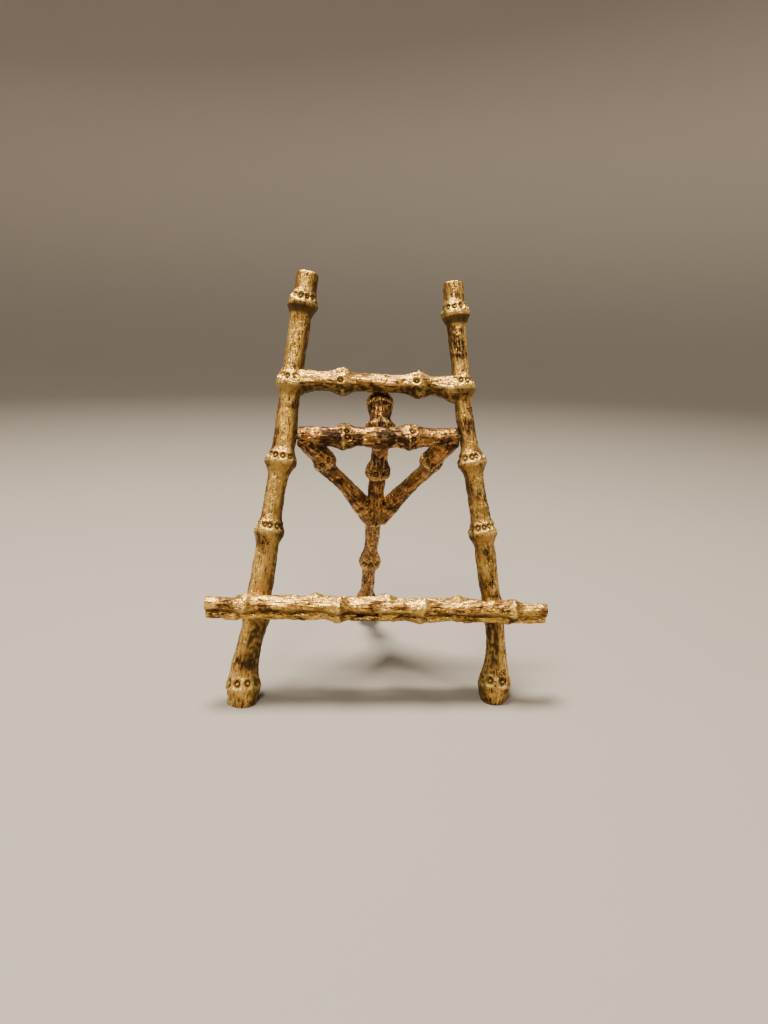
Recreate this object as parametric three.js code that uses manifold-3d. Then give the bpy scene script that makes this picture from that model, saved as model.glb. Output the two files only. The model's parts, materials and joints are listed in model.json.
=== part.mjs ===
// Photo album stand: a small tabletop easel of cast metal bamboo stalks.
// Two leaning uprights, a top rail and a three-stalk ledge make the front frame.
// A braced strut turns between the uprights on two pins and stands behind them.
// Millimetres, +Z up, +X to the right, +Y to the rear, origin under the middle of its box.

import * as THREE from 'three';
import { mergeVertices } from 'three/addons/utils/BufferGeometryUtils.js';
import Module from 'manifold-3d';

const wasm = await Module();
wasm.setup();

// ---- Driving dimensions -----------------------------------------------------

const LEAN = THREE.MathUtils.degToRad(14);          // the frame, back from the vertical
const STRUT_SPLAY = THREE.MathUtils.degToRad(32.8); // the strut, back from the vertical
const GAP = 0.3;       // between pieces that touch
const SIDES = 16;      // facets round a stalk
const BEVEL = 0.4;     // on a stalk's cut ends
const GROUND_OFF = 2;  // cast below the table plane, then ground flat

const UPRIGHT_RIM = 4.9;
const FOOT_BOTTOM_RADIUS = 4.5;
const FOOT_RIM = 5.5;
const FOOT_RIM_HEIGHT = 6.5;
const FOOT_FLARE_HEIGHT = 15;

const RAIL_ENDS = [-27.0, 26.8];
const RAIL_HEIGHTS = [106.9, 105.0]; // up the leaning frame, at its left and right ends
const RAIL_RADIUS = 3.1;
const RAIL_RIM = 4.5;
const FLARE_RADIUS = 4.0;
const FLARE_LENGTH = 6;

const LEDGE_ENDS = [-55.3, 56.0];
const LIP_HEIGHTS = [33.2, 30.6];
const LIP_FORWARD = 6.8;
const LIP_RADIUS = 2.15;
const LIP_RIM = 3.0;
const FRONT_STALK_HEIGHTS = [30.1, 28.0];
const FRONT_STALK_FORWARD = 4.4;
const FRONT_STALK_RADIUS = 1.8;
const FRONT_STALK_RIM = 2.5;
const BACK_STALK_ENDS = [-36.5, 36.5];
const BACK_STALK_HEIGHTS = [32.5, 30.9];
const BACK_STALK_RADIUS = 2.6;
const BACK_STALK_RIM = 3.6;

const PIVOT_HEIGHT = 87.95; // up the leaning frame
const CROSSBAR_ENDS = [-26.0, 27.2];
const CROSSBAR_RADIUS = 3.2;
const CROSSBAR_RIM = 4.4;
const PIN_RADIUS = 1.1;

const STEM_TOP_RADIUS = 2.9;
const STEM_RADIUS = 2.8;
const STEM_FOOT_RADIUS = 3.3;
const STEM_RIM = 4.3;
const BRACE_ROOT_RADIUS = 3.3;
const BRACE_RADIUS = 2.7;
const BRACE_RIM = 3.8;

const FINIAL_BEND = 71.4;  // degrees back from the stem's own line
const FINIAL_REACH = 13.0; // from the pivot to the ball's centre
const BALL_RADIUS = 4.6;
const NECK_RADIUS = 3.2;
const NECK_ROOT_RADIUS = 4.2;
const BALL_STEPS = 9;

// Centre lines and spans. The frame's are measured across and up its leaning plane,
// and the strut's across and up from the pivot. Joints are rims: their places lie up an
// upright, across a rail, and down a stalk of the strut from its top.
const UPRIGHTS = {
  left_upright: {
    line: [
      [-43.9, -GROUND_OFF], [-43.7, 6.5], [-42.2, 17.5], [-40.3, 25], [-37.2, 43.7], [-35.3, 56.9],
      [-33.8, 68.5], [-31.3, 80.4], [-30.1, 88.3], [-29.5, 98.3], [-26.7, 119], [-23.0, 142.3],
    ],
    shaft: [[FOOT_FLARE_HEIGHT, 4.1], [52, 3.8], [70, 3.35], [100, 3.35], [120, 3.5], [142.3, 3.5]],
    joints: [29.5, 56.9, 80.4, 106.9, 133.3],
  },
  right_upright: {
    line: [
      [39.2, -GROUND_OFF], [40.1, 6.4], [40.7, 17], [40.3, 23], [37.5, 42.2], [35.9, 56.2],
      [34.0, 67.8], [31.9, 80.2], [30.8, 87.6], [29.5, 95.6], [27.4, 119.8], [25.4, 140.0],
    ],
    shaft: [[FOOT_FLARE_HEIGHT, 3.4], [50, 3.4], [70, 3.15], [95, 2.95], [120, 3.1], [140, 3.4]],
    joints: [29.5, 56.2, 80.2, 105.5, 130.5],
  },
};
const TOP_RAIL_JOINTS = [-11.5, 13.6];
const LIP_JOINTS = [-43.2, -12.8, 14.6, 44.6];
const FRONT_STALK_JOINTS = [-46.6, -12.7, 13.9, 42.7];
const BACK_STALK_JOINTS = [-20.7, 3.6, 27.4];
const CROSSBAR_JOINTS = [-11.0, 11.0];
const STEM_LINE = [[1.4, 0], [0.3, -40], [-2.0, -106]];
const STEM_JOINTS = [16.0, 40.3, 65.0, 90.0];
const BRACES = {
  left_brace: { line: [[-22.4, -1.0], [-17.2, -12.1], [-0.9, -37.2]], joints: [12.8, 40.0] },
  right_brace: { line: [[24.0, -1.0], [19.2, -11.6], [2.2, -38.3]], joints: [12.0, 40.0] },
};
const PINS = {
  left_pivot_pin: [-30.0, -20.4],
  right_pivot_pin: [22.2, 30.4],
};

// ---- Stalk geometry -----------------------------------------------------------

// One bamboo joint, as [distance from the rim, share of the rim's height]:
// a short cone comes before the rim, and a flared shoulder after it.
const JOINT_SHAPE = [
  [-4.6, 0], [-3, 0.38], [-1.4, 0.92], [-0.7, 1], [0.2, 0.97], [1.8, 0.75], [3.4, 0.32], [5.5, 0],
];
const CLOSEST_RINGS = 0.25;

function radiusAlong(shaft, place) {
  const after = shaft.findIndex(([station]) => station > place);
  if (after === 0) return shaft[0][1];
  if (after === -1) return shaft.at(-1)[1];
  const [from, fromRadius] = shaft[after - 1];
  const [to, toRadius] = shaft[after];
  return THREE.MathUtils.mapLinear(place, from, to, fromRadius, toRadius);
}

// A stalk's outline, as [place, radius] rings: a shaft with bevelled ends, and joints.
// facing is 1 where a joint's shoulder comes after its rim, and -1 where it comes before.
function stalkOutline({ length, shaft, joints, rim, facing }) {
  const rings = shaft.filter(([place]) => place > BEVEL);
  for (const joint of joints) {
    for (const [offset, share] of JOINT_SHAPE) {
      const place = joint + facing * offset;
      rings.push([place, THREE.MathUtils.lerp(radiusAlong(shaft, place), rim, share)]);
    }
  }
  rings.sort((one, other) => one[0] - other[0]);
  const kept = [[0, radiusAlong(shaft, 0) - BEVEL], [BEVEL, radiusAlong(shaft, BEVEL)]];
  for (const ring of rings) {
    const beforeEnd = ring[0] < length - BEVEL - CLOSEST_RINGS;
    if (beforeEnd && ring[0] > kept.at(-1)[0] + CLOSEST_RINGS) kept.push(ring);
  }
  kept.push([length - BEVEL, radiusAlong(shaft, length - BEVEL)]);
  kept.push([length, radiusAlong(shaft, length) - BEVEL]);
  return kept;
}

// Grows an outline by the same amount on its side and at both ends.
function grow(outline, amount) {
  const last = outline.length - 1;
  return outline.map(([place, radius], index) => {
    const end = (index === last ? amount : 0) - (index === 0 ? amount : 0);
    return [place + end, radius + amount];
  });
}

function centreLine(points) {
  return new THREE.CatmullRomCurve3(points.map(([x, z]) => new THREE.Vector3(x, 0, z)));
}

// Turns an outline about a centre line that lies in a plane at one depth.
function turnAbout(outline, line, depth = 0) {
  const closed = [[outline[0][0], 0], ...outline, [outline.at(-1)[0], 0]];
  const profile = closed.map(([place, radius]) => new THREE.Vector2(radius, place));
  const body = new THREE.LatheGeometry(profile, SIDES);
  const length = line.getLength();
  const corners = body.getAttribute('position');
  for (let index = 0; index < corners.count; index += 1) {
    const place = corners.getY(index);
    const share = THREE.MathUtils.clamp(place / length, 0, 1);
    const tangent = line.getTangentAt(share);
    const across = new THREE.Vector3(tangent.z, 0, -tangent.x);
    const corner = line.getPointAt(share);
    corner.addScaledVector(tangent, place - share * length);
    corner.addScaledVector(across, corners.getX(index));
    corners.setXYZ(index, corner.x, depth - corners.getZ(index), corner.z);
  }
  return toSolid(body);
}

function toSolid(geometry) {
  const bare = new THREE.BufferGeometry();
  bare.setAttribute('position', geometry.getAttribute('position'));
  bare.setIndex(geometry.index);
  const merged = mergeVertices(bare, 1e-4);
  return new wasm.Manifold(new wasm.Mesh({
    numProp: 3,
    vertProperties: Float32Array.from(merged.getAttribute('position').array),
    triVerts: Uint32Array.from(merged.index.array),
  }));
}

function toGeometry(solid) {
  const { vertProperties, triVerts } = solid.getMesh();
  const geometry = new THREE.BufferGeometry();
  geometry.setAttribute('position', new THREE.BufferAttribute(vertProperties, 3));
  geometry.setIndex(new THREE.BufferAttribute(triVerts, 1));
  geometry.computeVertexNormals();
  return geometry;
}

// ---- Solids -------------------------------------------------------------------

function uprightSolid({ line, shaft: bamboo, joints }, growth = 0) {
  const curve = centreLine(line);
  const length = curve.getLength();
  const footRim = GROUND_OFF + FOOT_RIM_HEIGHT;
  const shaft = [
    [0, FOOT_BOTTOM_RADIUS],
    [GROUND_OFF, FOOT_BOTTOM_RADIUS],
    [footRim - 1.2, FOOT_RIM - 0.3],
    [footRim, FOOT_RIM],
    [footRim + 2, FOOT_RIM - 0.2],
    [footRim + 4.5, FOOT_RIM - 1],
    ...bamboo.map(([height, radius]) => [height + GROUND_OFF, radius]),
  ];
  const rims = joints.map((height) => height + GROUND_OFF);
  const outline = stalkOutline({ length, shaft, joints: rims, rim: UPRIGHT_RIM, facing: 1 });
  return turnAbout(grow(outline, growth), curve);
}

// A stalk that lies across from left to right. Its shoulders are on the left of their rims
// unless facing is 1.
function acrossSolid(stalk, growth = 0) {
  const { heights = [0, 0], forward = 0, radius, flare = radius, joints, rim, facing = -1 } = stalk;
  const [left, right] = stalk.ends;
  const length = right - left;
  const shaft = [[0, flare], [FLARE_LENGTH, radius], [length - FLARE_LENGTH, radius], [length, flare]];
  const rims = joints.map((across) => across - left);
  const outline = stalkOutline({ length, shaft, joints: rims, rim, facing });
  const curve = centreLine([[left, heights[0]], [right, heights[1]]]);
  return turnAbout(grow(outline, growth), curve, -forward);
}

// A stalk of the strut, from its top end down, each shoulder above its rim.
function strutStalkSolid({ line, radii, joints, rim }, growth = 0) {
  const curve = centreLine(line);
  const length = curve.getLength();
  const shaft = radii.map(([share, radius]) => [share * length, radius]);
  const outline = stalkOutline({ length, shaft, joints, rim, facing: -1 });
  return turnAbout(grow(outline, growth), curve);
}

// A ball on a flared neck, bent back so that the ball bears on the top rail.
function finialSolid() {
  const outline = [[1.5, NECK_ROOT_RADIUS], [4.2, NECK_ROOT_RADIUS - 0.2], [6.2, NECK_RADIUS]];
  const neckMeets = Math.PI - Math.asin(NECK_RADIUS / BALL_RADIUS);
  for (let step = 0; step <= BALL_STEPS; step += 1) {
    const turn = THREE.MathUtils.lerp(neckMeets, 0.15, step / BALL_STEPS);
    outline.push([FINIAL_REACH + BALL_RADIUS * Math.cos(turn), BALL_RADIUS * Math.sin(turn)]);
  }
  const straight = turnAbout(outline, centreLine([[0, 0], [0, FINIAL_REACH + BALL_RADIUS]]));
  return straight.rotate([-FINIAL_BEND, 0, 0]).translate([STEM_LINE[0][0], 0, 0]);
}

// A straight pin or bore along the pivot, between two places across.
function pivotCylinder([from, to], growth = 0) {
  const radius = PIN_RADIUS + growth;
  const cylinder = new THREE.CylinderGeometry(radius, radius, to - from + 2 * growth, SIDES);
  cylinder.rotateZ(Math.PI / 2);
  cylinder.translate((from + to) / 2, 0, 0);
  return toSolid(cylinder);
}

// Cuts a solid off at the table, which lies some way below its group's origin.
function standFlat(solid, group) {
  const turn = group.rotation.x;
  return solid.trimByPlane([0, Math.sin(turn), Math.cos(turn)], -group.position.z);
}

function union(solids) {
  return solids.reduce((whole, solid) => whole.add(solid));
}

// ---- Materials ----------------------------------------------------------------

const paleGilt = new THREE.MeshStandardMaterial({ color: '#c9a24f', roughness: 0.42, metalness: 1 });
const darkGilt = new THREE.MeshStandardMaterial({ color: '#8a6226', roughness: 0.5, metalness: 1 });
const pinMetal = new THREE.MeshStandardMaterial({ color: '#4a4038', roughness: 0.5, metalness: 1 });

function place(group, name, solid, material) {
  const mesh = new THREE.Mesh(toGeometry(solid), material);
  mesh.name = name;
  group.add(mesh);
}

// ---- Front frame, in its own leaning plane --------------------------------------

const frontFrame = new THREE.Group();
frontFrame.rotation.x = -LEAN;

const grownPins = union(Object.values(PINS).map((span) => pivotCylinder(span, GAP)));
const grownUprights = union(Object.values(UPRIGHTS).map((upright) => uprightSolid(upright, GAP)));

for (const [name, upright] of Object.entries(UPRIGHTS)) {
  const bored = uprightSolid(upright).subtract(grownPins.translate([0, 0, PIVOT_HEIGHT]));
  place(frontFrame, name, standFlat(bored, frontFrame), paleGilt);
}

const topRail = {
  ends: RAIL_ENDS, heights: RAIL_HEIGHTS,
  radius: RAIL_RADIUS, flare: FLARE_RADIUS, joints: TOP_RAIL_JOINTS, rim: RAIL_RIM,
};
place(frontFrame, 'top_rail', acrossSolid(topRail).subtract(grownUprights), paleGilt);

const lipStalk = {
  ends: LEDGE_ENDS, heights: LIP_HEIGHTS, forward: LIP_FORWARD,
  radius: LIP_RADIUS, joints: LIP_JOINTS, rim: LIP_RIM,
};
const frontStalk = {
  ends: LEDGE_ENDS, heights: FRONT_STALK_HEIGHTS, forward: FRONT_STALK_FORWARD,
  radius: FRONT_STALK_RADIUS, joints: FRONT_STALK_JOINTS, rim: FRONT_STALK_RIM,
};
const backStalk = {
  ends: BACK_STALK_ENDS, heights: BACK_STALK_HEIGHTS,
  radius: BACK_STALK_RADIUS, joints: BACK_STALK_JOINTS, rim: BACK_STALK_RIM,
};
const ledgeSeats = grownUprights.add(acrossSolid(lipStalk, GAP));
place(frontFrame, 'ledge_lip_stalk', acrossSolid(lipStalk).subtract(grownUprights), paleGilt);
place(frontFrame, 'ledge_front_stalk', acrossSolid(frontStalk).subtract(ledgeSeats), paleGilt);
const backSeats = ledgeSeats.add(acrossSolid(frontStalk, GAP));
place(frontFrame, 'ledge_back_stalk', acrossSolid(backStalk).subtract(backSeats), paleGilt);

// ---- Strut, with its origin on the pivot and its stem downwards -------------------

const strut = new THREE.Group();
strut.position.set(0, PIVOT_HEIGHT * Math.sin(LEAN), PIVOT_HEIGHT * Math.cos(LEAN));
strut.rotation.x = STRUT_SPLAY;

const crossbar = {
  ends: CROSSBAR_ENDS, radius: CROSSBAR_RADIUS, joints: CROSSBAR_JOINTS, rim: CROSSBAR_RIM, facing: 1,
};
const stem = {
  line: STEM_LINE, joints: STEM_JOINTS, rim: STEM_RIM,
  radii: [[0, STEM_TOP_RADIUS], [0.5, STEM_RADIUS], [0.85, STEM_RADIUS], [1, STEM_FOOT_RADIUS]],
};
const braceRadii = [[0, BRACE_ROOT_RADIUS], [0.5, BRACE_RADIUS], [1, BRACE_RADIUS]];

const grownCrossbar = acrossSolid(crossbar, GAP);
const crossbarAndStem = grownCrossbar.add(strutStalkSolid(stem, GAP));

place(strut, 'strut_crossbar', acrossSolid(crossbar).subtract(grownPins), darkGilt);
place(strut, 'strut_finial', finialSolid().subtract(crossbarAndStem), darkGilt);
place(strut, 'strut_stem', standFlat(strutStalkSolid(stem).subtract(grownCrossbar), strut), darkGilt);
for (const [name, brace] of Object.entries(BRACES)) {
  const stalk = strutStalkSolid({ ...brace, radii: braceRadii, rim: BRACE_RIM });
  place(strut, name, stalk.subtract(crossbarAndStem), darkGilt);
}
for (const [name, span] of Object.entries(PINS)) {
  place(strut, name, pivotCylinder(span), pinMetal);
}

// ---- The whole stand, moved so that its origin lies under the middle of its box -----

const stand = new THREE.Group();
stand.add(frontFrame, strut);
const box = new THREE.Box3().setFromObject(stand, true);
const middle = box.getCenter(new THREE.Vector3());
stand.position.set(-middle.x, -middle.y, -box.min.z);

export default stand;
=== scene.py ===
"""A small tabletop easel of cast bamboo stalks in antique gilt.

Every stalk is a spun profile, carved with grain, joints and rings of eyelets,
then laid along the middle of the solid that it stands for.
"""

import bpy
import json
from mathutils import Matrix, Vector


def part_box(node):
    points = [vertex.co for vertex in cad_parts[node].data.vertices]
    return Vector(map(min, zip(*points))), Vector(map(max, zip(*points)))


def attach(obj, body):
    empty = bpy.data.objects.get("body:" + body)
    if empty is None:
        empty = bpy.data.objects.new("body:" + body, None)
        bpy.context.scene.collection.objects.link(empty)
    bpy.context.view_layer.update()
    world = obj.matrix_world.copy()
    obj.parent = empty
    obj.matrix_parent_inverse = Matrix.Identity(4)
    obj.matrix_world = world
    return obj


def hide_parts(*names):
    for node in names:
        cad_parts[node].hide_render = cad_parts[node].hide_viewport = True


bl_info = {
    "name": "Bamboo Album Stand",
    "version": (1, 0, 0),
    "blender": (4, 5, 0),
    "location": "3D View > Sidebar > Stand",
    "description": "Builds a gilt bamboo album stand round its fixed frame",
    "category": "Add Mesh",
}

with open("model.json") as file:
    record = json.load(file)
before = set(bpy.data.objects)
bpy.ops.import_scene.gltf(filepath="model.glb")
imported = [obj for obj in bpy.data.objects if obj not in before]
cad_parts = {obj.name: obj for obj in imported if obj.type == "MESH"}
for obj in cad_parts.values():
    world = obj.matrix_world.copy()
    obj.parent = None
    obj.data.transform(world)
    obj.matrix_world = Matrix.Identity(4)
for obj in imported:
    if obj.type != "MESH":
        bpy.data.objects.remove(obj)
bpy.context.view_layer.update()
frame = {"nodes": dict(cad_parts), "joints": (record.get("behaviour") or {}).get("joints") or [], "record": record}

import json
import math
import random
from dataclasses import dataclass, field

import bmesh
import bpy
from bpy.props import FloatProperty, FloatVectorProperty, IntProperty, PointerProperty
from mathutils import Matrix, Vector, noise

MM = 0.001

MOUNTS = {mount["name"]: Vector(mount["pos_m"]) for mount in frame["record"]["mounts"]}
LEFT_FOOT = MOUNTS["left_foot_face"]
RIGHT_FOOT = MOUNTS["right_foot_face"]
STRUT_FOOT = MOUNTS["strut_foot_face"]
PIVOT = Vector(frame["joints"][0]["pos_m"])

# The front frame and the strut each lie in a plane through the pivot's line.
RIGHT = Vector((1, 0, 0))
UP_FRAME = Vector((0, PIVOT.y - LEFT_FOOT.y, PIVOT.z)).normalized()
BEHIND_FRAME = UP_FRAME.cross(RIGHT)
DOWN_STRUT = Vector((0, STRUT_FOOT.y - PIVOT.y, -PIVOT.z)).normalized()
BEHIND_STRUT = RIGHT.cross(DOWN_STRUT)


# ---- Sizes and colours ---------------------------------------------------------


class StandSizes(bpy.types.PropertyGroup):
    """Sizes of the stalks' carving."""

    facets: IntProperty(
        name="Facets round a stalk", description="How many faces go round each stalk",
        default=132, min=24, max=256,
    )
    fine_step: FloatProperty(
        name="Ring step at a joint", description="Distance between rings of vertices at a joint",
        default=0.22 * MM, unit="LENGTH", precision=5,
    )
    plain_step: FloatProperty(
        name="Ring step on a shaft",
        description="Distance between rings of vertices away from the joints",
        default=0.45 * MM, unit="LENGTH", precision=5,
    )
    grain_depth: FloatProperty(
        name="Grain depth", description="Height of the ridges that run along a stalk",
        default=0.16 * MM, unit="LENGTH", precision=6,
    )
    crinkle_depth: FloatProperty(
        name="Crinkle depth", description="Height of the small bumps of the casting",
        default=0.15 * MM, unit="LENGTH", precision=6,
    )
    lump_height: FloatProperty(
        name="Hand-made unevenness", description="How far a stalk strays from a true round",
        default=0.32 * MM, unit="LENGTH", precision=6,
    )
    eyelet_radius: FloatProperty(
        name="Eyelet radius", description="Radius of the ring-shaped marks at a joint",
        default=1.3 * MM, unit="LENGTH", precision=5,
    )
    eyelet_depth: FloatProperty(
        name="Eyelet groove depth", description="Depth of the groove inside each eyelet",
        default=0.8 * MM, unit="LENGTH", precision=5,
    )
    foot_eyelet_radius: FloatProperty(
        name="Foot eyelet radius", description="Radius of the larger eyelets round a foot",
        default=1.75 * MM, unit="LENGTH", precision=5,
    )


class StandColours(bpy.types.PropertyGroup):
    """Colours of the gilt, its patina, the strut's gilt darkened as painted shade, and the studio."""

    rubbed_gold: FloatVectorProperty(
        name="Rubbed gold", description="Gilt of the frame where hands have rubbed it",
        subtype="COLOR", default=(1.0, 0.71, 0.21),
    )
    pale_gold: FloatVectorProperty(
        name="Pale gold", description="Gilt of the frame",
        subtype="COLOR", default=(0.92, 0.545, 0.12),
    )
    deep_gold: FloatVectorProperty(
        name="Deep gold", description="Duller gilt in the frame's clouded patches",
        subtype="COLOR", default=(0.41, 0.195, 0.036),
    )
    # The strut's three golds are the frame's gilt darkened, as painted shade on the whole strut.
    strut_rubbed: FloatVectorProperty(
        name="Rubbed strut gold", description="Gilt of the strut where it is rubbed",
        subtype="COLOR", default=(0.84, 0.52, 0.17),
    )
    strut_gold: FloatVectorProperty(
        name="Strut gold", description="Gilt of the strut",
        subtype="COLOR", default=(0.46, 0.225, 0.055),
    )
    strut_deep: FloatVectorProperty(
        name="Strut deep gold", description="Duller gilt in the strut's clouded patches",
        subtype="COLOR", default=(0.17, 0.07, 0.016),
    )
    # Besides the patina, the umber is laid on as painted shade down shaded sides and over the strut.
    umber: FloatVectorProperty(
        name="Umber patina", description="Dark patina in recesses and under the joints",
        subtype="COLOR", default=(0.022, 0.011, 0.005),
    )
    pin_metal: FloatVectorProperty(
        name="Pin metal", description="Darkened steel of the pivot pins",
        subtype="COLOR", default=(0.10, 0.08, 0.065),
    )
    floor: FloatVectorProperty(
        name="Floor", description="Paper of the floor",
        subtype="COLOR", default=(0.25, 0.233, 0.212),
    )
    backdrop: FloatVectorProperty(
        name="Backdrop", description="Paper of the backdrop, which stands far from the lamps",
        subtype="COLOR", default=(0.66, 0.60, 0.54),
    )


class StudioSettings(bpy.types.PropertyGroup):
    """Where the camera stands and how strong the lamps are."""

    camera_place: FloatVectorProperty(
        name="Camera place", description="Where the camera is, measured from the left foot",
        default=(33.4 * MM, -234.7 * MM, 122.0 * MM), subtype="TRANSLATION",
    )
    camera_pitch: FloatProperty(
        name="Camera pitch", description="How far the camera looks down",
        default=math.radians(13.7), subtype="ANGLE",
    )
    camera_roll: FloatProperty(
        name="Camera roll", description="How far the camera is turned about its own view",
        default=math.radians(0.95), subtype="ANGLE",
    )
    camera_turn: FloatProperty(
        name="Camera turn", description="How far the camera is turned to the right",
        default=math.radians(3.0), subtype="ANGLE",
    )
    lens: FloatProperty(
        name="Lens", description="Focal length of the camera",
        default=27.07, unit="CAMERA",
    )
    top_power: FloatProperty(
        name="Overhead lamp", description="Power of the lamp above the stand",
        default=26.0, unit="POWER",
    )
    side_power: FloatProperty(
        name="Side lamps", description="Power of the lamp on each side",
        default=1.7, unit="POWER",
    )
    front_power: FloatProperty(
        name="Front lamp", description="Power of the lamp above the camera",
        default=6.5, unit="POWER",
    )


# ---- The middle line of a stalk ----------------------------------------------


def section_middle(node_name, point, normal):
    """The middle of a CAD stalk where a plane cuts it."""
    cut = bmesh.new()
    cut.from_mesh(frame["nodes"][node_name].data)
    whole = cut.verts[:] + cut.edges[:] + cut.faces[:]
    result = bmesh.ops.bisect_plane(cut, geom=whole, plane_co=point, plane_no=normal)
    ring = [item.co.copy() for item in result["geom_cut"] if isinstance(item, bmesh.types.BMVert)]
    cut.free()
    if not ring:
        raise RuntimeError(f"{node_name} has no section there")
    low = Vector([min(co[axis] for co in ring) for axis in range(3)])
    high = Vector([max(co[axis] for co in ring) for axis in range(3)])
    return (low + high) / 2


def along(stations, place):
    """The value at a place on a smooth curve through (place, value) stations."""
    last = len(stations) - 1
    index = next((index for index in range(1, last) if stations[index][0] > place), last)
    (start, one), (end, other) = stations[index - 1], stations[index]
    before, after = stations[max(index - 2, 0)], stations[min(index + 1, last)]
    span = end - start
    slope_in = (other - before[1]) * (span / (end - before[0]))
    slope_out = (after[1] - one) * (span / (after[0] - start))
    share = (place - start) / span
    rise = share * share * (3 - 2 * share)
    bend_in = share * (1 - share) ** 2
    bend_out = share * share * (share - 1)
    return one + (other - one) * rise + slope_in * bend_in + slope_out * bend_out


class MiddleLine:
    """A smooth line through a few points, read by distance from its start."""

    def __init__(self, points):
        self.start = points[0]
        self.length = 0.0
        self.stations = [(0.0, points[0])]
        for one, other in zip(points, points[1:]):
            self.length += (other - one).length
            self.stations.append((self.length, other))

    def at(self, distance):
        """The point at a distance from the start, and the line's direction there."""
        step = 0.2 * MM
        direction = along(self.stations, distance + step) - along(self.stations, distance - step)
        return along(self.stations, distance), direction.normalized()


# ---- The shape of a stalk ------------------------------------------------------


@dataclass
class Joint:
    """A bamboo joint: its rim's place along the stalk, its radius and its eyelets."""

    place: float
    rim: float
    eyelets: int = 11
    eyelet_radius: float = 0.0
    eyelet_depth: float = 1.0
    eyelet_offset: float = 1.9 * MM
    cone: float = 4.6 * MM
    shoulder: float = 5.5 * MM
    cone_stain: float = 0.8
    tilt: float = 0.09


@dataclass
class Shade:
    """Painted shade down one side of a stalk, from a place to another."""

    side: float
    start: float
    amount: float = 1.0
    first: float = -1.0
    last: float = 1.0

    def at(self, angle, place):
        """The painted shade's strength: it begins where the surface starts to face its side."""
        facing = ease((math.cos(angle - self.side) - self.start) / 0.5)
        inside = ease((place - self.first) / (5 * MM)) * ease((self.last - place) / (5 * MM))
        return self.amount * facing * inside


@dataclass
class Stalk:
    """What a stalk is carved from: its line, shaft radii, joints and roughness of make.

    A flare is (middle, width, growth, side).
    """

    name: str
    line: MiddleLine
    behind: Vector
    shaft: list
    joints: list
    facing: int = 1
    seed: int = 0
    grain: float = 1.0
    lumps: float = 1.0
    twist: float = 0.0
    flares: list = field(default_factory=list)
    shades: list = field(default_factory=list)


def ease(share):
    """A smooth rise from 0 to 1."""
    share = min(max(share, 0.0), 1.0)
    return share * share * (3 - 2 * share)


def hill(value, middle, width):
    """A smooth bump of height 1."""
    return math.exp(-(((value - middle) / width) ** 2))


def shaft_radius(shaft, place):
    """The shaft's radius at a place, kept the same beyond its first and last stations."""
    return along(shaft, min(max(place, shaft[0][0]), shaft[-1][0]))


def joint_swell(joint, offset):
    """How far a joint has swollen, from 0 to 1, at an offset from its rim."""
    if offset < 0:
        share = max(-offset / joint.cone - 0.2, 0.0) / 0.8
        return (1 - min(share, 1.0)) ** 1.5
    return 0.98 * (1 - ease(offset / joint.shoulder))


def ring_places(stalk, sizes):
    """Where the stalk's rings of vertices lie: close together at each joint."""
    places = [0.0]
    while places[-1] < stalk.line.length:
        last = places[-1]
        near = any(
            -joint.cone * 0.5 < stalk.facing * (last - joint.place) < joint.eyelet_offset + 2 * MM
            for joint in stalk.joints
        )
        places.append(last + (sizes.fine_step if near else sizes.plain_step))
    places[-1] = stalk.line.length
    return places


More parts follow.
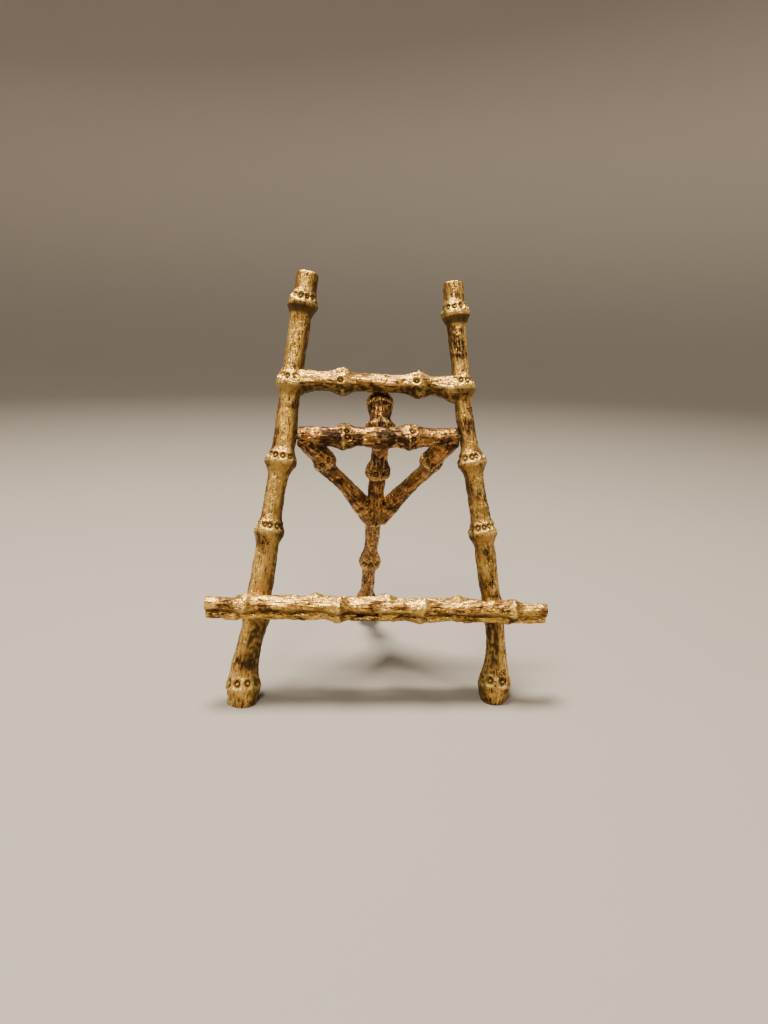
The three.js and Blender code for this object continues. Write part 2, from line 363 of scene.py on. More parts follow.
class Carver:
    """Gives a stalk's surface its radius, how worn or stained it is, and its painted shade, at any place."""

    def __init__(self, stalk, sizes):
        self.stalk = stalk
        self.sizes = sizes
        chance = random.Random(stalk.seed)
        self.origin = Vector((stalk.seed * 3.7, stalk.seed * 1.9, 0))
        self.tilts = [
            (joint.tilt * chance.uniform(0.2, 1), chance.uniform(0, math.tau)) for joint in stalk.joints
        ]
        self.eyelets = [self.place_eyelets(joint, chance) for joint in stalk.joints]

    def place_eyelets(self, joint, chance):
        """The eyelets of one joint: angle, offset from the rim and size, a little uneven."""
        turn = chance.uniform(0, math.tau)
        step = math.tau / max(joint.eyelets, 1)
        return [
            (
                turn + step * (index + chance.uniform(-0.16, 0.16)),
                chance.uniform(-0.18, 0.22) * MM,
                chance.uniform(0.82, 1.12),
            )
            for index in range(joint.eyelets)
        ]

    def eyelet(self, joint, eyelets, angle, offset, radius):
        """Height, stain and wear that the nearest eyelet gives to a point of the surface."""
        size = joint.eyelet_radius or self.sizes.eyelet_radius
        rise = offset - joint.eyelet_offset
        if abs(rise) > size * 2:
            return 0.0, 0.0, 0.0
        nearest = math.inf
        for eyelet_angle, lift, scale in eyelets:
            turned = (angle - eyelet_angle + math.pi) % math.tau - math.pi
            away = math.hypot(turned * radius, rise - lift) / (size * scale)
            nearest = min(nearest, away)
        if nearest > 2:
            return 0.0, 0.0, 0.0
        groove = hill(nearest, 0.5, 0.34)
        collar = hill(nearest, 1.1, 0.2)
        bead = hill(nearest, 0.0, 0.2)
        height = -self.sizes.eyelet_depth * groove + 0.16 * MM * collar + 0.06 * MM * bead
        depth = joint.eyelet_depth
        return height * depth, groove * depth, (collar * 0.7 + bead) * depth

    def roughness(self, angle, place, base):
        """The grain's ridge, the crinkle and the slow lumps at a point, each about -1 to 1."""
        spin = angle + self.stalk.twist * place
        round_mm, along_mm = base / MM, place / MM
        turned = Vector((math.cos(spin), math.sin(spin), 0)) * round_mm
        straight = Vector((math.cos(angle), math.sin(angle), 0)) * round_mm
        grain = noise.noise(turned * 1.25 + Vector((0, 0, along_mm * 0.16)) + self.origin)
        fine = noise.noise(turned * 2.4 + Vector((0, 0, along_mm * 0.3)) + self.origin)
        crinkle = noise.noise(straight * 0.85 + Vector((0, 0, along_mm * 0.75)) - self.origin)
        lump = noise.noise(straight * 0.3 + Vector((0, 0, along_mm * 0.17)) - self.origin)
        return 0.6 * grain + 0.4 * fine, crinkle, lump

    def point(self, angle, place):
        """The surface's radius, stain with painted shade, and wear at an angle and a place along the stalk."""
        stalk, sizes = self.stalk, self.sizes
        base = shaft_radius(stalk.shaft, place)
        radius, stain_and_shade, wear = base, 0.0, 0.0
        for joint, (tilt, heading), eyelets in zip(stalk.joints, self.tilts, self.eyelets):
            offset = stalk.facing * (place - joint.place) + tilt * base * math.cos(angle - heading)
            if not -joint.cone < offset < max(joint.shoulder, joint.eyelet_offset + 2 * MM):
                continue
            swell = joint_swell(joint, offset)
            radius = max(radius, base + (joint.rim - base) * swell)
            edge = hill(offset, 0.1 * MM, 0.42 * MM)
            height, groove, raised = self.eyelet(joint, eyelets, angle, offset, radius)
            radius += height + 0.1 * MM * edge
            cone = ease(-0.3 - offset / MM) * ease((offset + joint.cone) / (1.5 * MM))
            stain_and_shade = max(stain_and_shade, groove, joint.cone_stain * cone)
            wear = max(wear, raised, edge, 0.5 * swell * (offset > 0))
        for middle, width, growth, side in stalk.flares:
            lean = 1.0 if side is None else 0.2 + 0.8 * max(0.0, math.cos(angle - side))
            radius += growth * lean * hill(place, middle, width)
        ridge, crinkle, lump = self.roughness(angle, place, base)
        # Painted shade: the stalk's shaded sides are darkened in patches and put into the stain.
        shade_patches = 0.6 + 0.4 * ease(0.65 + crinkle + ridge)
        stain_and_shade = max([stain_and_shade, *(shade_patches * shade.at(angle, place) for shade in stalk.shades)])
        radius += sizes.grain_depth * stalk.grain * ridge
        radius += sizes.crinkle_depth * stalk.grain * crinkle
        radius += sizes.lump_height * stalk.lumps * lump
        stain_and_shade = max(stain_and_shade, 0.6 * ease((-0.1 - ridge) / 0.4), 0.5 * ease((-0.18 - crinkle) / 0.4))
        wear = max(wear, 0.75 * ease((ridge - 0.12) / 0.3), 0.6 * ease((crinkle - 0.15) / 0.3))
        return radius, stain_and_shade, wear


def spin_profile(bm, profile, facets):
    """Turns (radius, place) points once round the Z axis into a closed body."""
    verts = [bm.verts.new((radius, 0, place)) for radius, place in profile]
    edges = [bm.edges.new(pair) for pair in zip(verts, verts[1:])]
    bmesh.ops.spin(
        bm, geom=verts + edges, cent=(0, 0, 0), axis=(0, 0, 1), dvec=(0, 0, 0),
        angle=math.tau, steps=facets, use_merge=True, use_normal_flip=False, use_duplicate=False,
    )
    bmesh.ops.remove_doubles(bm, verts=bm.verts, dist=0.001 * MM)
    bmesh.ops.recalc_face_normals(bm, faces=bm.faces)


CUT_EDGE = 0.35 * MM  # the rounding of a stalk's cut end
FACE_RINGS = (0.0, 0.35, 0.65, 0.85)  # where a cut end has rings of vertices


def stalk_profile(stalk, sizes):
    """A plain stalk's outline, with rounded edges and level faces at its cut ends."""
    length = stalk.line.length
    edge = CUT_EDGE
    start, end = shaft_radius(stalk.shaft, 0), shaft_radius(stalk.shaft, length)
    profile = [((start - edge) * share, 0.0) for share in FACE_RINGS]
    profile += [(start - edge, 0.0), (start - edge * 0.3, edge * 0.3)]
    for place in ring_places(stalk, sizes):
        if edge < place < length - edge:
            profile.append((shaft_radius(stalk.shaft, place), place))
    profile += [(end - edge * 0.3, length - edge * 0.3), (end - edge, length)]
    profile += [((end - edge) * share, length) for share in reversed(FACE_RINGS)]
    return profile


def finish_piece(bm, name, material, body, nodes):
    """Makes the piece from its bmesh and says what it rides on and stands for."""
    bmesh.ops.recalc_face_normals(bm, faces=bm.faces)
    mesh = bpy.data.meshes.new(name)
    bm.to_mesh(mesh)
    bm.free()
    mesh.polygons.foreach_set("use_smooth", [True] * len(mesh.polygons))
    mesh.materials.append(material)
    piece = bpy.data.objects.new(name, mesh)
    bpy.context.scene.collection.objects.link(piece)
    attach(piece, body)
    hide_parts(*nodes)
    return piece


def carve_stalk(stalk, sizes):
    """A bmesh of the stalk, carved and laid along its line."""
    bm = bmesh.new()
    # This layer carries the patina and the painted shade alike.
    stain_and_shade_layer = bm.verts.layers.float.new("stain_and_shade")
    wear_layer = bm.verts.layers.float.new("wear")
    straight_layer = bm.verts.layers.float_vector.new("straight")
    spin_profile(bm, stalk_profile(stalk, sizes), sizes.facets)
    carver = Carver(stalk, sizes)
    for vert in bm.verts:
        place = vert.co.z
        flat_radius = math.hypot(vert.co.x, vert.co.y)
        angle = math.atan2(vert.co.y, vert.co.x)
        shaft = shaft_radius(stalk.shaft, place)
        radius, stain_and_shade, wear = carver.point(angle, place)
        share = flat_radius / shaft
        at_end = place < 0.01 * MM or place > stalk.line.length - 0.01 * MM
        if at_end:
            stain_and_shade, wear = 0.15 * (1 - share), 0.5 * share
        carved = radius * share
        point, direction = stalk.line.at(place)
        aside = stalk.behind.cross(direction).normalized()
        straight = Vector((carved * math.cos(angle), carved * math.sin(angle), place))
        vert.co = point + aside * straight.x + stalk.behind * straight.y
        vert[stain_and_shade_layer] = stain_and_shade
        vert[wear_layer] = wear
        vert[straight_layer] = straight + Vector((0, 0, stalk.seed * 0.31))
    return bm


def stand_flat(bm):
    """Cuts a piece off at the table and closes the cut."""
    whole = bm.verts[:] + bm.edges[:] + bm.faces[:]
    cut = bmesh.ops.bisect_plane(
        bm, geom=whole, plane_co=(0, 0, 0), plane_no=(0, 0, 1), clear_inner=True,
    )
    edges = [item for item in cut["geom_cut"] if isinstance(item, bmesh.types.BMEdge)]
    bmesh.ops.contextual_create(bm, geom=edges)


# ---- Materials -------------------------------------------------------------------

STAGE_RADIUS = 1.1
COVE_RADIUS = 0.6
WALL_HEIGHT = 2.2
COVE_STEPS = 12
STAGE_FACETS = 96


class NodeDesk:
    """Adds shader nodes to one material and links them."""

    def __init__(self, name):
        self.material = bpy.data.materials.new(name)
        self.material.use_nodes = True
        self.nodes = self.material.node_tree.nodes
        self.links = self.material.node_tree.links
        self.shader = self.nodes["Principled BSDF"]

    def add(self, kind, **settings):
        node = self.nodes.new(kind)
        for key, value in settings.items():
            setattr(node, key, value)
        return node

    def link(self, source, target):
        self.links.new(source, target)

    def attribute(self, name):
        return self.add("ShaderNodeAttribute", attribute_name=name)

    def noise(self, vector, scale, detail=4.0, roughness=0.55):
        texture = self.add("ShaderNodeTexNoise")
        texture.inputs["Scale"].default_value = scale
        texture.inputs["Detail"].default_value = detail
        texture.inputs["Roughness"].default_value = roughness
        self.link(vector, texture.inputs["Vector"])
        return texture.outputs["Fac"]

    def stretch(self, vector, scale):
        mapping = self.add("ShaderNodeMapping")
        mapping.inputs["Scale"].default_value = scale
        self.link(vector, mapping.inputs["Vector"])
        return mapping.outputs["Vector"]

    def ramp(self, value, low, high, low_value=0.0, high_value=1.0):
        node = self.add("ShaderNodeMapRange", interpolation_type="SMOOTHSTEP")
        for socket, number in zip(("From Min", "From Max", "To Min", "To Max"),
                                  (low, high, low_value, high_value)):
            node.inputs[socket].default_value = number
        self.link(value, node.inputs["Value"])
        return node.outputs["Result"]

    def math(self, operation, one, other, clamp=False):
        node = self.add("ShaderNodeMath", operation=operation, use_clamp=clamp)
        for socket, value in zip(node.inputs, (one, other)):
            if isinstance(value, (int, float)):
                socket.default_value = value
            else:
                self.link(value, socket)
        return node.outputs["Value"]

    def mix_colour(self, factor, one, other):
        node = self.add("ShaderNodeMix", data_type="RGBA")
        for name, value in (("Factor", factor), ("A", one), ("B", other)):
            socket = next(item for item in node.inputs if item.name == name and item.enabled)
            if isinstance(value, bpy.types.NodeSocket):
                self.link(value, socket)
            else:
                socket.default_value = (*value, 1.0)
        return next(item for item in node.outputs if item.enabled)

    def bump(self, height, distance, strength=1.0, under=None):
        node = self.add("ShaderNodeBump")
        node.inputs["Distance"].default_value = distance
        node.inputs["Strength"].default_value = strength
        self.link(height, node.inputs["Height"])
        if under is not None:
            self.link(under, node.inputs["Normal"])
        return node.outputs["Normal"]


def antique_gilt(name, worn, bright, deep, umber, painted_shade_bias):
    """Gilt rubbed bright on its edges, stained with umber in its recesses and grain, and darkened with umber as
    painted shade on shaded sides and by the painted-shade bias.
    """
    desk = NodeDesk(name)
    straight = desk.attribute("straight").outputs["Vector"]
    stain_and_shade = desk.attribute("stain_and_shade").outputs["Fac"]
    wear = desk.attribute("wear").outputs["Fac"]
    clouds = desk.noise(straight, 150, 5.0)
    streaks = desk.noise(desk.stretch(straight, (2200, 2200, 280)), 1.0, 4.0, 0.6)
    crumbs = desk.noise(straight, 1500, 3.0, 0.6)
    gold = desk.mix_colour(desk.ramp(clouds, 0.36, 0.64), deep, bright)
    rubbed = desk.math("MULTIPLY", wear, desk.ramp(crumbs, 0.35, 0.6, 0.5, 1.0))
    gold = desk.mix_colour(rubbed, gold, worn)
    # Streaks of real dirt, plus the bias that darkens the whole piece as painted shade.
    dirt_and_shade = desk.math("ADD", desk.ramp(streaks, 0.53, 0.34, 0.0, 0.9), painted_shade_bias)
    dirt_and_shade = desk.math("ADD", dirt_and_shade, desk.ramp(clouds, 0.52, 0.36, 0.0, 0.6))
    dirt_and_shade = desk.math("ADD", dirt_and_shade, desk.ramp(crumbs, 0.47, 0.3, 0.0, 0.8))
    dirt_and_shade = desk.math("SUBTRACT", dirt_and_shade, desk.math("MULTIPLY", rubbed, 0.7), clamp=True)
    # The stain attribute darkens both with patina and with painted shade.
    dirt_and_shade = desk.math("MAXIMUM", dirt_and_shade, desk.math("MULTIPLY", stain_and_shade, 0.97))
    desk.link(desk.mix_colour(dirt_and_shade, gold, umber), desk.shader.inputs["Base Color"])
    desk.link(desk.ramp(dirt_and_shade, 0.0, 1.0, 1.0, 0.5), desk.shader.inputs["Metallic"])
    desk.link(desk.ramp(dirt_and_shade, 0.0, 1.0, 0.5, 0.15), desk.shader.inputs["Specular IOR Level"])
    satin = desk.ramp(crumbs, 0.3, 0.7, 0.06, -0.05)
    dull = desk.math("ADD", desk.ramp(dirt_and_shade, 0.0, 1.0, 0.27, 0.6), satin)
    desk.link(dull, desk.shader.inputs["Roughness"])
    grain = desk.bump(streaks, 0.32 * MM, 1.0)
    desk.link(desk.bump(crumbs, 0.25 * MM, 1.0, grain), desk.shader.inputs["Normal"])
    return desk.material


def pale_gilt():
    colours = bpy.context.scene.stand_colours
    golds = (colours.rubbed_gold, colours.pale_gold, colours.deep_gold)
    return antique_gilt("pale_gilt_finish", *map(tuple, golds), tuple(colours.umber), 0.0)


# The strut's gilt: darker golds and a darkening bias, painted shade over the whole strut.
def umber_gilt():
    colours = bpy.context.scene.stand_colours
    golds = (colours.strut_rubbed, colours.strut_gold, colours.strut_deep)
    return antique_gilt("umber_gilt_finish", *map(tuple, golds), tuple(colours.umber), 0.15)


def material_once(make):
    """Makes a material the first time it is asked for."""
    name = f"{make.__name__}_finish"
    return bpy.data.materials.get(name) or make()


def dark_pin():
    """Darkened steel with turning marks round the pin."""
    desk = NodeDesk("dark_pin_finish")
    where = desk.add("ShaderNodeTexCoord").outputs["Object"]
    marks = desk.noise(desk.stretch(where, (4000, 300, 300)), 1.0, 3.0)
    cloud = desk.noise(where, 900, 3.0)
    colour = bpy.context.scene.stand_colours.pin_metal
    darker = tuple(part * 0.45 for part in colour)
    steel = desk.mix_colour(desk.ramp(cloud, 0.35, 0.65), darker, colour)
    desk.link(steel, desk.shader.inputs["Base Color"])
    desk.shader.inputs["Metallic"].default_value = 1.0
    desk.link(desk.ramp(cloud, 0.3, 0.7, 0.35, 0.55), desk.shader.inputs["Roughness"])
    desk.link(desk.bump(marks, 0.02 * MM, 0.6), desk.shader.inputs["Normal"])
    return desk.material


def studio_floor():
    """Matt paper, faintly clouded, and paler where it rises into the backdrop."""
    desk = NodeDesk("studio_floor_finish")
    where = desk.add("ShaderNodeTexCoord").outputs["Object"]
    cloud = desk.noise(where, 9, 3.0)
    colours = bpy.context.scene.stand_colours
    darker = tuple(part * 0.97 for part in colours.floor)
    paper = desk.mix_colour(cloud, darker, tuple(colours.floor))
    axes = desk.add("ShaderNodeSeparateXYZ")
    desk.link(where, axes.inputs["Vector"])
    rise = desk.ramp(axes.outputs["Z"], 0.0, COVE_RADIUS)
    paper = desk.mix_colour(rise, paper, tuple(colours.backdrop))
    desk.link(paper, desk.shader.inputs["Base Color"])
    desk.shader.inputs["Roughness"].default_value = 0.75
    return desk.material


# ---- Stalks of this stand ---------------------------------------------------------


def finish_frame_piece(bm, node):
    """A casting of the front frame, in pale gilt."""
    gilt = material_once(pale_gilt)
    finish_piece(bm, f"{node}_casting", gilt, "front_frame", [node])


def finish_strut_piece(bm, node):
    """A casting of the strut, in gilt darkened as painted shade."""
    gilt = material_once(umber_gilt)
    finish_piece(bm, f"{node}_casting", gilt, "strut", [node])


def line_from_sections(node_name, start, direction, distances, first, last):
    """A middle line through a CAD stalk's sections, run on straight to first and last."""
    middles = [
        section_middle(node_name, start + direction * distance, direction) for distance in distances
    ]
    head = (middles[0] - middles[1]) / (distances[1] - distances[0])
    tail = (middles[-1] - middles[-2]) / (distances[-1] - distances[-2])
    begin = middles[0] + head * (distances[0] - first)
    end = middles[-1] + tail * (last - distances[-1])
    return MiddleLine([begin, *middles, end])


def line_across(node_name, sections, reach=0.0):
    """The middle line of a CAD stalk that lies across, run on past its ends by its reach."""
    low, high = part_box(node_name)
    distances = [section * MM for section in sections]
    return line_from_sections(node_name, Vector(), RIGHT, distances, low.x - reach, high.x + reach)


def joints_across(line, places, **settings):
    """Joints of a stalk that lies across, from their places across the stand."""
    return [Joint(place=place * MM - line.start.x, **settings) for place in places]


def in_mm(stations):
    return [(place * MM, radius * MM) for place, radius in stations]


# Lengths are in millimetres. A joint is (place, stain), a swell (middle, width, growth) and a
# station of the shaft (place, radius). Inner is the angle that faces the other upright.
UPRIGHTS = {
    "left_upright": {
        "foot": LEFT_FOOT,
        "inner": 0.0,
        "swells": ((90.0, 10.0, 0.75),),
        "foot_radii": (4.7, 5.6),
        "rim": 5.0,
        "joints": ((29.5, 0.2), (56.9, 0.45), (80.4, 0.5), (106.9, 0.6), (133.3, 0.95)),
        "shaft": (
            (16, 4.15), (25, 4.1), (50, 3.85), (70, 3.35), (100, 3.35), (120, 3.5), (142, 3.65),
        ),
    },
    "right_upright": {
        "foot": RIGHT_FOOT,
        "inner": math.pi,
        "swells": (),
        "foot_radii": (4.2, 5.4),
        "rim": 4.8,
        "joints": ((29.5, 0.2), (56.2, 0.45), (80.2, 0.55), (105.5, 0.8), (130.5, 0.95)),
        "shaft": (
            (16, 3.4), (25, 3.15), (50, 3.4), (70, 3.15), (95, 2.9), (120, 3.1), (140, 3.45),
        ),
    },
}
UPRIGHT_SECTIONS = (3, 10, 18, 24, 42, 50, 63, 70, 88, 96, 118, 138)  # clear of the joints
BELOW_TABLE = 2.0  # a foot is carved this far too long, then cut off at the table


class STAND_OT_uprights(bpy.types.Operator):
    """Make the two uprights, with their joints, cut tops and ground feet"""

    bl_idname = "stand.make_uprights"
    bl_label = "Uprights"

    def execute(self, context):
        sizes = context.scene.stand_sizes
        for seed, (node, upright) in enumerate(UPRIGHTS.items(), 1):
            top_radius = upright["shaft"][-1][1] * MM
            height = (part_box(node)[1].z - top_radius * UP_FRAME.y) / UP_FRAME.z
            distances = [distance * MM for distance in UPRIGHT_SECTIONS]
            line = line_from_sections(
                node, upright["foot"], UP_FRAME, distances, -BELOW_TABLE * MM, height,
            )
            sole, ring = upright["foot_radii"]
            foot = [
                (0, sole - 0.2), (2, sole), (5, ring - 0.4),
                (6.8, ring), (8.5, ring - 0.1), (11.5, ring - 0.9),
            ]
            above = ((place + BELOW_TABLE, radius) for place, radius in upright["shaft"])
            shaft = in_mm([*foot, *above])
            joints = [
                Joint(
                    (place + BELOW_TABLE) * MM, upright["rim"] * MM,
                    eyelets=11 + index % 2, cone_stain=stain_and_shade,
                )
                for index, (place, stain_and_shade) in enumerate(upright["joints"])
            ]
            foot_ring = Joint(
                (BELOW_TABLE + 4.9) * MM, 0.0, eyelets=8, eyelet_radius=sizes.foot_eyelet_radius,
                eyelet_offset=1.7 * MM, cone_stain=0.3, tilt=0.05,
            )
            inner = upright["inner"]
            flares = [
                (place * MM, width * MM, growth * MM, inner)
                for place, width, growth in upright["swells"]
            ]
            stalk = Stalk(
                node, line, BEHIND_FRAME, shaft, [*joints, foot_ring], seed=seed,
                flares=flares,
                # Painted shade down the inner side, wider and darker on the legs below the ledge.
                shades=[
                    Shade(inner, 0.3, 0.95),
                    Shade(inner, -0.2, 0.6, 33 * MM, 80 * MM),
                    Shade(inner, -0.5, 1.0, 10 * MM, 33 * MM),
                ],
            )
            bm = carve_stalk(stalk, sizes)
            stand_flat(bm)
            finish_frame_piece(bm, node)
        return {"FINISHED"}


DOWN, UP = 0.0, math.pi  # angles round a stalk that lies across


class STAND_OT_top_rail(bpy.types.Operator):
    """Make the top rail, flared where it is cast into the uprights"""

    bl_idname = "stand.make_top_rail"
    bl_label = "Top rail"

    def execute(self, context):
        sizes = context.scene.stand_sizes
        line = line_across("top_rail", (-19.5, 19.5), 2 * MM)
        shaft = [(0.0, 3.3 * MM), (line.length / 2, 3.05 * MM), (line.length, 3.3 * MM)]
        joints = joints_across(
            line, (-11.5, 13.9), rim=4.5 * MM, eyelets=9, eyelet_offset=1.2 * MM, cone_stain=0.4,
        )
        flares = [
            (1.5 * MM, 4.4 * MM, 2.2 * MM, DOWN),
            (line.length - 1.5 * MM, 4.4 * MM, 2.2 * MM, DOWN),
        ]
        # Painted shade along the rail's underside.
        stalk = Stalk(
            "top_rail", line, BEHIND_FRAME, shaft, joints, facing=-1, seed=5, grain=1.2,
            flares=flares, shades=[Shade(DOWN, -0.05)],
        )
        bm = carve_stalk(stalk, sizes)
        finish_frame_piece(bm, "top_rail")
        return {"FINISHED"}


@dataclass
class LedgeStalk:
    """One of the ledge's stalks, in millimetres. Its twist is in tenths of a radian for each."""

    node: str
    radius: float
    rim: float
    joints: tuple
    sections: tuple
    twist: float
    shaded_side: float
    reach: float = 0.0
    brazed: tuple = ()


LEDGE = (
    LedgeStalk(
        "ledge_lip_stalk", 2.2, 3.25, (-43.2, -12.8, 14.6, 44.6), (-50, 50), 0.1, DOWN,
        brazed=(-37.0, 39.0),
    ),
    LedgeStalk("ledge_front_stalk", 1.9, 2.75, (-46.6, -12.7, 13.9, 42.7), (-50, 50), 0.35, UP),
    LedgeStalk("ledge_back_stalk", 2.65, 3.7, (-20.7, 3.6, 27.4), (-29, 15), 0.1, DOWN, reach=1.5),
)


class STAND_OT_ledge(bpy.types.Operator):
    """Make the three stalks of the ledge, laid together and brazed across the uprights"""

    bl_idname = "stand.make_ledge"
    bl_label = "Ledge"

    def execute(self, context):
        sizes = context.scene.stand_sizes
        for seed, part in enumerate(LEDGE, 11):
            line = line_across(part.node, part.sections, part.reach * MM)
            joints = joints_across(
                line, part.joints, rim=part.rim * MM,
                eyelets=6, eyelet_radius=0.8 * MM, eyelet_depth=0.35, eyelet_offset=1.4 * MM,
                cone=3.2 * MM, shoulder=5 * MM, cone_stain=0.6, tilt=0.2,
            )
            shaft = [(0.0, part.radius * MM), (line.length, part.radius * MM)]
            flares = [(place * MM - line.start.x, 5 * MM, 0.8 * MM, UP) for place in part.brazed]
            # Painted shade in the groove between the lip and the front stalk, and under the back stalk.
            stalk = Stalk(
                part.node, line, BEHIND_FRAME, shaft, joints, facing=-1, seed=seed,
                grain=1.8, lumps=1.8, twist=part.twist / MM * 0.1,
                flares=flares, shades=[Shade(part.shaded_side, 0.4, 0.9)],
            )
            bm = carve_stalk(stalk, sizes)
            finish_frame_piece(bm, part.node)
        return {"FINISHED"}


class STAND_OT_crossbar(bpy.types.Operator):
    """Make the strut's crossbar, which carries the pivot pins in its ends"""

    bl_idname = "stand.make_crossbar"
    bl_label = "Strut crossbar"

    def execute(self, context):
        sizes = context.scene.stand_sizes
        line = line_across("strut_crossbar", (-20, 20))
        shaft = [(0.0, 3.2 * MM), (line.length, 3.1 * MM)]
        joints = joints_across(
            line, (-11.3, 10.7), rim=4.4 * MM, eyelets=9, eyelet_offset=1.2 * MM, cone_stain=0.3,
        )
        low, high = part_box("strut_finial")
        middle = (low.x + high.x) / 2 - line.start.x
        # Painted shade along the crossbar's underside.
        stalk = Stalk(
            "strut_crossbar", line, BEHIND_STRUT, shaft, joints, seed=21, grain=1.3,
            flares=[(middle, 4.5 * MM, 0.8 * MM, None)], shades=[Shade(DOWN, 0.2, 0.8)],
        )
        bm = carve_stalk(stalk, sizes)
        finish_strut_piece(bm, "strut_crossbar")
        return {"FINISHED"}


class STAND_OT_stem(bpy.types.Operator):
    """Make the strut's stem, ground flat where it stands on the table"""

    bl_idname = "stand.make_stem"
    bl_label = "Strut stem"

    def execute(self, context):
        sizes = context.scene.stand_sizes
        distances = [distance * MM for distance in (7, 26, 50, 76, 98)]
        line = line_from_sections("strut_stem", PIVOT, DOWN_STRUT, distances, 0.0, 106 * MM)
        shaft = in_mm([
            (0, 2.9), (22, 2.9), (29, 3.0), (34, 4.0), (37, 4.1), (39.5, 3.6),
            (43, 2.9), (60, 2.8), (75, 2.65), (96, 2.8), (106, 3.3),
        ])
        joints = [
            Joint(place * MM, rim * MM, eyelets=9, cone_stain=0.5, cone=cone * MM, shoulder=7 * MM)
            for place, rim, cone in (
                (16.2, 4.5, 3.2), (40.4, 3.7, 1.8), (65.0, 4.4, 3.2), (90.0, 4.3, 3.2),
            )
        ]
        stalk = Stalk(
            "strut_stem", line, BEHIND_STRUT, shaft, joints, facing=-1, seed=22, grain=1.3,
        )
        bm = carve_stalk(stalk, sizes)
        stand_flat(bm)
        finish_strut_piece(bm, "strut_stem")
        return {"FINISHED"}


class STAND_OT_braces(bpy.types.Operator):
    """Make the two braces from the crossbar's ends to the stem"""

    bl_idname = "stand.make_braces"
    bl_label = "Strut braces"

    def execute(self, context):
        sizes = context.scene.stand_sizes
        for seed, (node, upper) in enumerate((("left_brace", 12.6), ("right_brace", 12.2)), 31):
            distances = [distance * MM for distance in (6, 10, 15, 20, 26, 31)]
            line = line_from_sections(node, PIVOT, DOWN_STRUT, distances, 0.5 * MM, 38.5 * MM)
            shaft = in_mm([
                (0, 4.0), (4, 3.7), (9, 3.3), (18, 2.75), (26, 2.75), (34, 3.2), (42, 4.1),
            ])
            upper_joint = Joint(
                upper * MM, 3.9 * MM, eyelets=8, cone_stain=0.5, cone=3.5 * MM, shoulder=6 * MM,
            )
            lower_joint = Joint(38.5 * MM, 0.0, eyelets=8, eyelet_radius=1.05 * MM, cone_stain=0.4)
            stalk = Stalk(
                node, line, BEHIND_STRUT, shaft, [upper_joint, lower_joint],
                facing=-1, seed=seed, grain=1.3,
            )
            bm = carve_stalk(stalk, sizes)
            finish_strut_piece(bm, node)
        return {"FINISHED"}


BALL_STEPS = 14
BALL_SWEEP = math.radians(105)  # how far the outline runs round the ball
BALL_TIP = 0.1  # the angle at the ball's tip that is left as a small flat


class STAND_OT_finial(bpy.types.Operator):
    """Make the finial, whose ball bears on the top rail when the strut is open"""

    bl_idname = "stand.make_finial"
    bl_label = "Strut finial"

    def execute(self, context):
        sizes = context.scene.stand_sizes
        low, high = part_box("strut_finial")
        ball = (high.x - low.x) / 2
        centre = Vector(((low.x + high.x) / 2, high.y - ball, high.z - ball))
        root = Vector((centre.x, PIVOT.y, PIVOT.z))
        direction = (centre - root).normalized()
        reach = (centre - root).length
        neck = in_mm([
            (0, 2.4), (2.2, 3.0), (3.6, 3.4), (5.4, 3.4), (7.3, 3.4), (8.8, 3.7), (10.6, 4.25),
        ])
        cap = []
        for step in range(BALL_STEPS + 1):
            turn = BALL_SWEEP * (1 - step / BALL_STEPS) + BALL_TIP
            cap.append((reach + ball * math.cos(turn), ball * math.sin(turn)))
        line = MiddleLine([root, root + direction * (reach + ball)])
        ring = Joint(
            reach - 1.2 * MM, 0.0, eyelets=8, eyelet_radius=0.95 * MM,
            cone_stain=0.0, eyelet_offset=1.6 * MM,
        )
        behind = direction.cross(RIGHT).normalized()
        flares = [(3.4 * MM, 2.0 * MM, 1.5 * MM, side) for side in (0.0, math.pi)]
        stalk = Stalk(
            "strut_finial", line, behind, neck + cap, [ring], seed=41, lumps=0.6, flares=flares,
        )
        bm = carve_stalk(stalk, sizes)
        finish_strut_piece(bm, "strut_finial")
        return {"FINISHED"}


PIN_CHAMFER = 0.25 * MM
PIN_FACETS = 48


class STAND_OT_pivot_pins(bpy.types.Operator):
    """Make the two pins that the strut turns on"""

    bl_idname = "stand.make_pivot_pins"
    bl_label = "Pivot pins"

    def execute(self, context):
        for node in ("left_pivot_pin", "right_pivot_pin"):
            low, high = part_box(node)
            radius = (high.z - low.z) / 2
            length = high.x - low.x
            bm = bmesh.new()
            profile = [
                (0.0, 0.0), (radius - PIN_CHAMFER, 0.0), (radius, PIN_CHAMFER),
                (radius, length - PIN_CHAMFER), (radius - PIN_CHAMFER, length), (0.0, length),
            ]
            spin_profile(bm, profile, PIN_FACETS)
            turn = Matrix.Rotation(math.pi / 2, 4, "Y")
            place = Matrix.Translation((low.x, PIVOT.y, PIVOT.z))
            bmesh.ops.transform(bm, matrix=place @ turn, verts=bm.verts)
            steel = material_once(dark_pin)
            piece = finish_piece(bm, f"{node}_steel", steel, "strut", [node])
            piece.data.polygons.foreach_set("use_smooth", [False] * len(piece.data.polygons))
        return {"FINISHED"}


# ---- Stage -------------------------------------------------------------------------


WARM, NEUTRAL = (1.0, 0.87, 0.70), (1.0, 0.94, 0.86)
LAMP_TARGET = (0, 0, 70 * MM)
RIGHT_SHARE = 0.8  # the right lamp's power, as a share of the left one's
ROOM_COLOUR = (0.90, 0.86, 0.80, 1.0)
ROOM_STRENGTH = 0.05


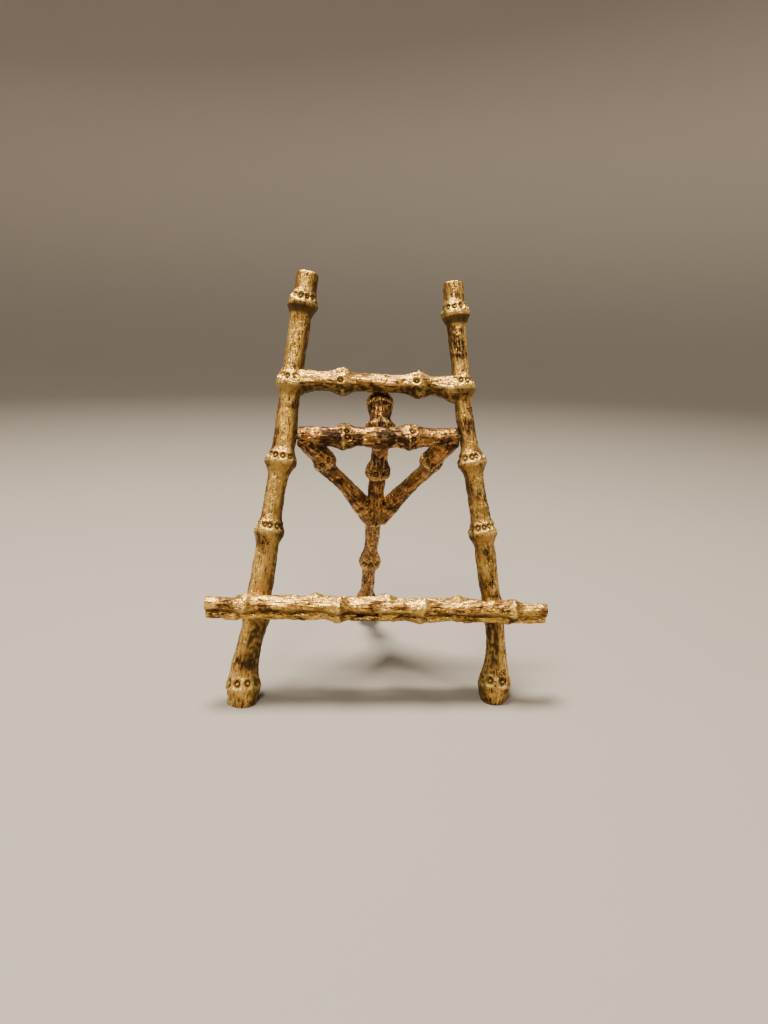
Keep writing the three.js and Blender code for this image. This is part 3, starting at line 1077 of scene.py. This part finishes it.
def area_lamp(name, location, size, power, colour):
    """A soft rectangular lamp that looks at the middle of the stand."""
    data = bpy.data.lights.new(name, "AREA")
    data.shape = "RECTANGLE"
    data.size, data.size_y = size
    data.energy = power
    data.color = colour
    lamp = bpy.data.objects.new(name, data)
    lamp.location = location
    lamp.rotation_euler = (Vector(LAMP_TARGET) - Vector(location)).to_track_quat("-Z", "Y").to_euler()
    bpy.context.scene.collection.objects.link(lamp)


def place_camera(studio):
    """The camera, in front of the feet and a little above the stand's middle."""
    data = bpy.data.cameras.new("stand_camera")
    data.lens = studio.lens
    data.clip_start = 0.01
    camera = bpy.data.objects.new("stand_camera", data)
    bpy.context.scene.collection.objects.link(camera)
    camera.location = LEFT_FOOT + studio.camera_place
    turn = Matrix.Rotation(-studio.camera_turn, 4, "Z")
    tilt = Matrix.Rotation(math.pi / 2 - studio.camera_pitch, 4, "X")
    roll = Matrix.Rotation(studio.camera_roll, 4, "Z")
    camera.rotation_euler = (turn @ tilt @ roll).to_euler()
    bpy.context.scene.camera = camera


class STAND_OT_stage(bpy.types.Operator):
    """Make the pale round stage, the soft lamps and the camera"""

    bl_idname = "stand.make_stage"
    bl_label = "Stage"

    def execute(self, context):
        studio = context.scene.stand_studio
        place_camera(studio)
        cove = [
            (STAGE_RADIUS + COVE_RADIUS * math.sin(turn), COVE_RADIUS * (1 - math.cos(turn)))
            for turn in (math.pi / 2 * step / COVE_STEPS for step in range(COVE_STEPS + 1))
        ]
        outline = [(0.0, 0.0), *cove, (STAGE_RADIUS + COVE_RADIUS, WALL_HEIGHT)]
        bm = bmesh.new()
        verts = [bm.verts.new((radius, 0, height)) for radius, height in outline]
        edges = [bm.edges.new(pair) for pair in zip(verts, verts[1:])]
        bmesh.ops.spin(
            bm, geom=verts + edges, cent=(0, 0, 0), axis=(0, 0, 1), dvec=(0, 0, 0),
            angle=math.tau, steps=STAGE_FACETS,
            use_merge=True, use_normal_flip=False, use_duplicate=False,
        )
        bmesh.ops.remove_doubles(bm, verts=bm.verts, dist=MM)
        bmesh.ops.recalc_face_normals(bm, faces=bm.faces)
        mesh = bpy.data.meshes.new("studio_floor")
        bm.to_mesh(mesh)
        bm.free()
        mesh.polygons.foreach_set("use_smooth", [True] * len(mesh.polygons))
        mesh.materials.append(studio_floor())
        floor = bpy.data.objects.new("studio_floor", mesh)
        context.scene.collection.objects.link(floor)
        area_lamp("overhead_lamp", (-0.10, 0.06, 0.85), (0.26, 0.20), studio.top_power, WARM)
        area_lamp("left_lamp", (-0.75, -0.12, 0.34), (0.30, 0.60), studio.side_power, NEUTRAL)
        right_power = studio.side_power * RIGHT_SHARE
        area_lamp("right_lamp", (0.75, -0.05, 0.30), (0.30, 0.60), right_power, NEUTRAL)
        area_lamp("front_lamp", (-0.12, -0.60, 0.74), (0.20, 0.14), studio.front_power, WARM)
        world = bpy.data.worlds.new("studio_world")
        world.use_nodes = True
        room = world.node_tree.nodes["Background"]
        room.inputs["Color"].default_value = ROOM_COLOUR
        room.inputs["Strength"].default_value = ROOM_STRENGTH
        context.scene.world = world
        return {"FINISHED"}


# ---- Panel and registration ------------------------------------------------------------

MAKERS = (
    STAND_OT_stage,
    STAND_OT_uprights,
    STAND_OT_top_rail,
    STAND_OT_ledge,
    STAND_OT_crossbar,
    STAND_OT_stem,
    STAND_OT_braces,
    STAND_OT_finial,
    STAND_OT_pivot_pins,
)


class STAND_PT_panel(bpy.types.Panel):
    """Lists the makers and settings of the stand"""

    bl_idname = "STAND_PT_panel"
    bl_label = "Bamboo Album Stand"
    bl_space_type = "VIEW_3D"
    bl_region_type = "UI"
    bl_category = "Stand"

    def draw(self, context):
        for maker in MAKERS:
            self.layout.operator(maker.bl_idname)
        scene = context.scene
        for settings in (scene.stand_sizes, scene.stand_colours, scene.stand_studio):
            box = self.layout.box()
            for name in settings.bl_rna.properties.keys():
                if name not in ("rna_type", "name"):
                    box.prop(settings, name)


CLASSES = (StandSizes, StandColours, StudioSettings, *MAKERS, STAND_PT_panel)


def register():
    for cls in CLASSES:
        bpy.utils.register_class(cls)
    bpy.types.Scene.stand_sizes = PointerProperty(type=StandSizes)
    bpy.types.Scene.stand_colours = PointerProperty(type=StandColours)
    bpy.types.Scene.stand_studio = PointerProperty(type=StudioSettings)


def unregister():
    del bpy.types.Scene.stand_studio
    del bpy.types.Scene.stand_colours
    del bpy.types.Scene.stand_sizes
    for cls in reversed(CLASSES):
        bpy.utils.unregister_class(cls)


def main():
    register()
    for maker in MAKERS:
        group, action = maker.bl_idname.split(".")
        getattr(getattr(bpy.ops, group), action)()


if __name__ == "__main__":
    main()
